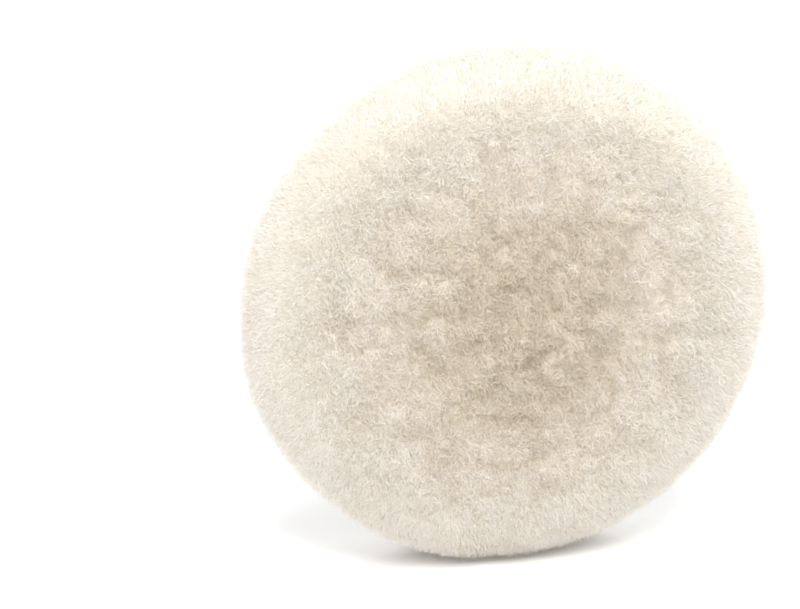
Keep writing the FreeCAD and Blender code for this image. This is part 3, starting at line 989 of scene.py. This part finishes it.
def make_hairs(name, rng, root, way, material, lengths, bend_spread, radii, seed):
    """Loose hairs that bend at random, as one piece. radii has one value for each row."""
    count = len(root)
    rise = np.linspace(0, 1, len(radii))[None, :, None]
    length = rng.uniform(*lengths, (count, 1, 1))
    bend = rng.normal(0, bend_spread, (count, 1, 3))
    line = root[:, None] + (way[:, None] + bend * rise) * length * rise
    points, faces, _ = tubes(line, np.tile(radii, (count, 1)), HAIR_SIDES, seed)
    return mesh_object(name, points, faces, [material])


EDGE_HAIRS = 5000
EDGE_HAIR = {"lengths": (0.5, 1.6), "bend_spread": 0.4, "radii": np.full(4, 0.05), "seed": 14}
EDGE_HAIR_INSET = (0.1, 0.9)
EDGE_HAIR_SPREAD = 0.35
EDGE_HAIR_LIFT = 0.1


def make_edge_fuzz(material):
    """Frayed black filaments along the cloth's cut edge."""
    rng = np.random.default_rng(13)
    column = rng.uniform(0, STITCHES, EDGE_HAIRS)
    radius = cloth_edge(column) - rng.uniform(*EDGE_HAIR_INSET, EDGE_HAIRS)
    angle = beside_stitches(radius, column)
    root = around(radius, angle, rng.uniform(NAP_BACK, NAP_TOP, EDGE_HAIRS))
    out = around(1.0, angle, rng.normal(EDGE_HAIR_LIFT, EDGE_HAIR_SPREAD, EDGE_HAIRS))
    way = unit(out + rng.normal(0, EDGE_HAIR_SPREAD, (EDGE_HAIRS, 3)))
    return make_hairs("nap_edge_fuzz", rng, root, way, material, **EDGE_HAIR)


# -------- the sewing thread

THREAD_STEP = 0.45
THREAD_PLIES = 3
PLY_SIDES = 6
PLY_RADIUS = 0.31
PLY_OFFSET = 0.31
PLY_UNEVEN = 0.12
THREAD_TWIST = 4.2  # length in which a ply goes round once
HOLE_SPREAD = 0.45 * STRAND_SPREAD  # angle from a stitch's middle to each strand at its hole
EDGE_SPREAD = 0.62 * STRAND_SPREAD  # and at the edge
STITCH_ARCH = 0.25  # how far a stitch rises between its ends
CORNER_PASSES = 4  # of smoothing, to round the corners


def strand_line(side):
    """The middle line of one strand (side -1 or 1) along the whole seam, with rounded corners."""
    corners = []
    for stitch in range(STITCHES):
        hole = HOLE_ANGLE[stitch] + side * HOLE_SPREAD
        edge = EDGE_ANGLE[stitch] + side * EDGE_SPREAD
        middle_radius, middle_angle = (HOLE_RADIUS + EDGE_RADIUS) / 2, (hole + edge) / 2
        corners += [
            around(HOLE_REACH[stitch], hole, SEAM_UNDER),
            around(HOLE_REACH[stitch], hole, SEAM_TOP),
            around(middle_radius, middle_angle, SEAM_TOP + STITCH_ARCH),
            around(EDGE_RADIUS, edge, SEAM_TOP),
            around(EDGE_RADIUS, edge, SEAM_UNDER),
        ]
    corners = np.array(corners)
    reach = np.concatenate([[0], np.cumsum(np.linalg.norm(np.diff(corners, axis=0), axis=1))])
    places = np.arange(0, reach[-1], THREAD_STEP)
    line = np.stack([np.interp(places, reach, column) for column in corners.T], -1)
    for _ in range(CORNER_PASSES):
        line[1:-1] = (line[:-2] + 2 * line[1:-1] + line[2:]) / 4
    return line


def carried_frame(line):
    """Two directions across a line at each of its points, carried along it without a twist."""
    along = unit(np.gradient(line, axis=0))
    across = [unit(np.cross(along[0], (0.2, 0.3, 0.9)))]
    for way in along[1:]:
        across.append(unit(across[-1] - way * (across[-1] @ way)))
    across = np.array(across)
    return across, np.cross(along, across)


def make_strand(name, side, material):
    """One strand of the doubled thread: soft plies laid round each other."""
    line = strand_line(side)
    across, upward = carried_frame(line)
    turn = FULL_TURN * np.arange(PLY_SIDES) / PLY_SIDES
    spokes = across[:, None] * np.cos(turn)[:, None] + upward[:, None] * np.sin(turn)[:, None]
    turns_laid = np.arange(len(line)) * THREAD_STEP / THREAD_TWIST
    all_points, all_triangles = [], []
    for ply in range(THREAD_PLIES):
        lay = (FULL_TURN * (turns_laid + ply / THREAD_PLIES))[:, None]
        middle = line + PLY_OFFSET * (across * np.cos(lay) + upward * np.sin(lay))
        swell = PLY_RADIUS * (1 + PLY_UNEVEN * noise(middle, cell=1.3, seed=81 + ply))
        points, triangles = ring_skin(middle[:, None] + spokes * swell[:, None, None])
        all_triangles.append(triangles + ply * len(points))
        all_points.append(points)
    return mesh_object(
        name, np.concatenate(all_points), np.concatenate(all_triangles), [material]
    )


STITCH_HAIRS = 5000
STITCH_HAIR = {"lengths": (0.6, 1.8), "bend_spread": 0.4, "radii": np.full(4, 0.035), "seed": 16}
STITCH_HAIR_SPREAD = 0.5
SEAM_IN_SIGHT = SEAM_TOP - 0.4  # the height that a strand is seen from
STRAND_SURFACE = 0.45  # from a strand's middle to its hairs


def make_stitch_fuzz(material):
    """Fine white hairs that stand off the spun thread."""
    rng = np.random.default_rng(15)
    lines = np.concatenate([strand_line(-1), strand_line(1)])
    seen = lines[lines[:, 1] > SEAM_IN_SIGHT]
    pick = rng.integers(0, len(seen) - 1, STITCH_HAIRS)
    along = unit(seen[pick + 1] - seen[pick])
    way = along * rng.normal(0, 1, (STITCH_HAIRS, 1))
    way = unit(way + rng.normal(0, STITCH_HAIR_SPREAD, (STITCH_HAIRS, 3)))
    root = seen[pick] + unit(rng.normal(0, 1, (STITCH_HAIRS, 3))) * STRAND_SURFACE
    return make_hairs("stitch_fuzz", rng, root, way, material, **STITCH_HAIR)


NOTCH_FIBRES = 4500
NOTCH_FIBRE = {"lengths": (1.0, 3.0), "bend_spread": 0.35, "radii": np.full(5, 0.06), "seed": 18}
NOTCH_ANGLE_SPREAD = 0.013
NOTCH_OUT = (0.9, 2.8)  # from a stitch's outer end
NOTCH_HEIGHTS = (-2.0, -0.9)
NOTCH_LIFT = (0.1, 0.7)
NOTCH_SPREAD = 0.3


def make_notch_wool(material):
    """Ring wool that the stitches pull in over their own outer ends."""
    rng = np.random.default_rng(17)
    stitch = rng.integers(0, STITCHES, NOTCH_FIBRES)
    angle = EDGE_ANGLE[stitch] + rng.normal(0, NOTCH_ANGLE_SPREAD, NOTCH_FIBRES)
    radius = EDGE_RADIUS + rng.uniform(*NOTCH_OUT, NOTCH_FIBRES)
    root = around(radius, angle, rng.uniform(*NOTCH_HEIGHTS, NOTCH_FIBRES))
    inward = around(-1.0, angle, rng.uniform(*NOTCH_LIFT, NOTCH_FIBRES))
    way = unit(inward + rng.normal(0, NOTCH_SPREAD, (NOTCH_FIBRES, 3)))
    return make_hairs("notch_wool", rng, root, way, material, **NOTCH_FIBRE)


# -------- stage


FLOOR_RADIUS = 900  # as far as the lamps keep it white
FLOOR_CORNERS = 96
FLOOR_GAP = 0.2


def make_floor():
    """A plain pale round floor under the pad's rim."""
    turn = FULL_TURN * np.arange(FLOOR_CORNERS) / FLOOR_CORNERS
    height = np.full(FLOOR_CORNERS, WOOL_LOW[2] - FLOOR_GAP)
    points = np.stack([FLOOR_RADIUS * np.cos(turn), FLOOR_RADIUS * np.sin(turn), height], -1)
    material, _, _ = new_material("pale_floor", (0.9, 0.9, 0.9, 1), 0.9)
    floor = mesh_object("floor", points, np.arange(FLOOR_CORNERS)[None], [material])


# Each lamp's place in metres, and its power in watts. All look at the middle of the loop face.
LAMPS = {
    "top_softbox": ((0, -0.45, 0.88), 9.6),
    "left_softbox": ((-0.9, -0.1, 0.3), 2.8),
    "right_softbox": ((0.9, -0.1, 0.35), 3.2),
    "rear_softbox": ((0.1, 0.8, 0.6), 3.4),
}
LAMP_WIDTH = 0.7


def look_along(way):
    """The rotation of a lamp or a camera that looks along a direction."""
    return way.to_track_quat("-Z", "Y")


def make_lamp(name, place, power):
    """A large soft round lamp."""
    lamp = bpy.data.lights.new(name, "AREA")
    lamp.shape = "DISK"
    lamp.size = LAMP_WIDTH
    lamp.energy = power
    holder = bpy.data.objects.new(name, lamp)
    holder.location = place
    holder.rotation_euler = look_along(-Vector(place)).to_euler()
    bpy.context.scene.collection.objects.link(holder)


def make_world(seen, given):
    """White all round: `seen` behind the pad, and `given` as light."""
    world = bpy.data.worlds.new("studio")
    bpy.context.scene.world = world
    world.use_nodes = True
    tree = world.node_tree
    background = tree.nodes["Background"]
    path = tree.nodes.new("ShaderNodeLightPath")
    strength = tree.nodes.new("ShaderNodeMapRange")
    strength.inputs["To Min"].default_value = given
    strength.inputs["To Max"].default_value = seen
    tree.links.new(path.outputs["Is Camera Ray"], strength.inputs["Value"])
    tree.links.new(strength.outputs["Result"], background.inputs["Strength"])
    background.inputs["Color"].default_value = (1, 1, 1, 1)


CAMERA_AZIMUTH = math.radians(-14)
CAMERA_ELEVATION = math.radians(20)
CAMERA_DISTANCE = 0.8
SENSOR_WIDTH = 36.0

# The pad in the picture, as shares of the picture's width.
PAD_WIDTH_IN_VIEW = 0.6625
PAD_RIGHT_OF_MIDDLE = 0.13875
PAD_BELOW_MIDDLE = 0.005625


def make_camera():
    """The camera in front of the wool, a little left and above, with the pad off centre."""
    middle = Vector((0, (WOOL_LOW[1] + WOOL_HIGH[1]) / 2 * MM, 0))
    level = math.cos(CAMERA_ELEVATION)
    sideways = math.sin(CAMERA_AZIMUTH) * level
    forwards = -math.cos(CAMERA_AZIMUTH) * level
    away = Vector((sideways, forwards, math.sin(CAMERA_ELEVATION)))
    place = middle + away * CAMERA_DISTANCE
    view_width = 2 * PAD_RADIUS * MM / PAD_WIDTH_IN_VIEW
    off_middle = Vector((-PAD_RIGHT_OF_MIDDLE, PAD_BELOW_MIDDLE, 0)) * view_width
    aim = middle + look_along(-away) @ off_middle
    lens = bpy.data.cameras.new("camera")
    lens.sensor_width = SENSOR_WIDTH
    lens.lens = SENSOR_WIDTH * CAMERA_DISTANCE / view_width
    camera = bpy.data.objects.new("camera", lens)
    camera.location = place
    camera.rotation_euler = look_along(aim - place).to_euler()
    bpy.context.scene.collection.objects.link(camera)
    bpy.context.scene.camera = camera


WOOL_BOUNCES = 14  # light scatters many times inside a fleece


def make_stage():
    """Camera, floor, world and lamps, and how the light is counted."""
    make_camera()
    make_floor()
    make_world(seen=1.0, given=0.75)
    for name, (place, power) in LAMPS.items():
        make_lamp(name, place, power)
    scene = bpy.context.scene
    scene.view_settings.view_transform = "Standard"
    scene.cycles.max_bounces = WOOL_BOUNCES
    scene.cycles.diffuse_bounces = WOOL_BOUNCES


# -------- the pad


def attach(pieces, slot, *nodes):
    """Pieces ride on the pad, and the nodes are hidden. The slot is not used."""
    for piece in pieces:
        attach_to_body(piece, ROOT)
    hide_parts(*nodes)


def make_fleece():
    """The wool: its padded core and every fibre."""
    shades = wool_fibre_materials()
    core = make_fleece_core()
    attach([core, *make_fleece_fibres(shades), make_notch_wool(shades[-1])], "wool", "wool_pile")
    return core


def make_layers(core):
    """The hide on the wool, the ground cloth on the hide, and the nap on the ground cloth."""
    hide = make_hide()
    attach([hide], "hide", "sheepskin_hide")
    ground = make_ground()
    attach([ground], "ground_cloth", "backing_ground_cloth")
    nap = make_nap()
    shades = loop_materials()
    loops = [*make_loops(shades), make_edge_fuzz(shades[0])]
    attach([nap, *loops], "loop_nap", "backing_loop_nap")


def make_thread():
    """Both strands, their hairs, and the thread's look on the two hidden knots."""
    material = thread_material()
    strand_a = make_strand("thread_strand_a", -1, material)
    strand_b = make_strand("thread_strand_b", 1, material)
    attach([strand_a], "thread", "stitch_strand_a")
    attach([strand_b, make_stitch_fuzz(thread_hair_material())], "thread", "stitch_strand_b")
    for node in ("thread_start_knot", "thread_end_knot"):
        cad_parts[node].data.materials[0] = material


make_layers(make_fleece())
make_thread()
make_stage()
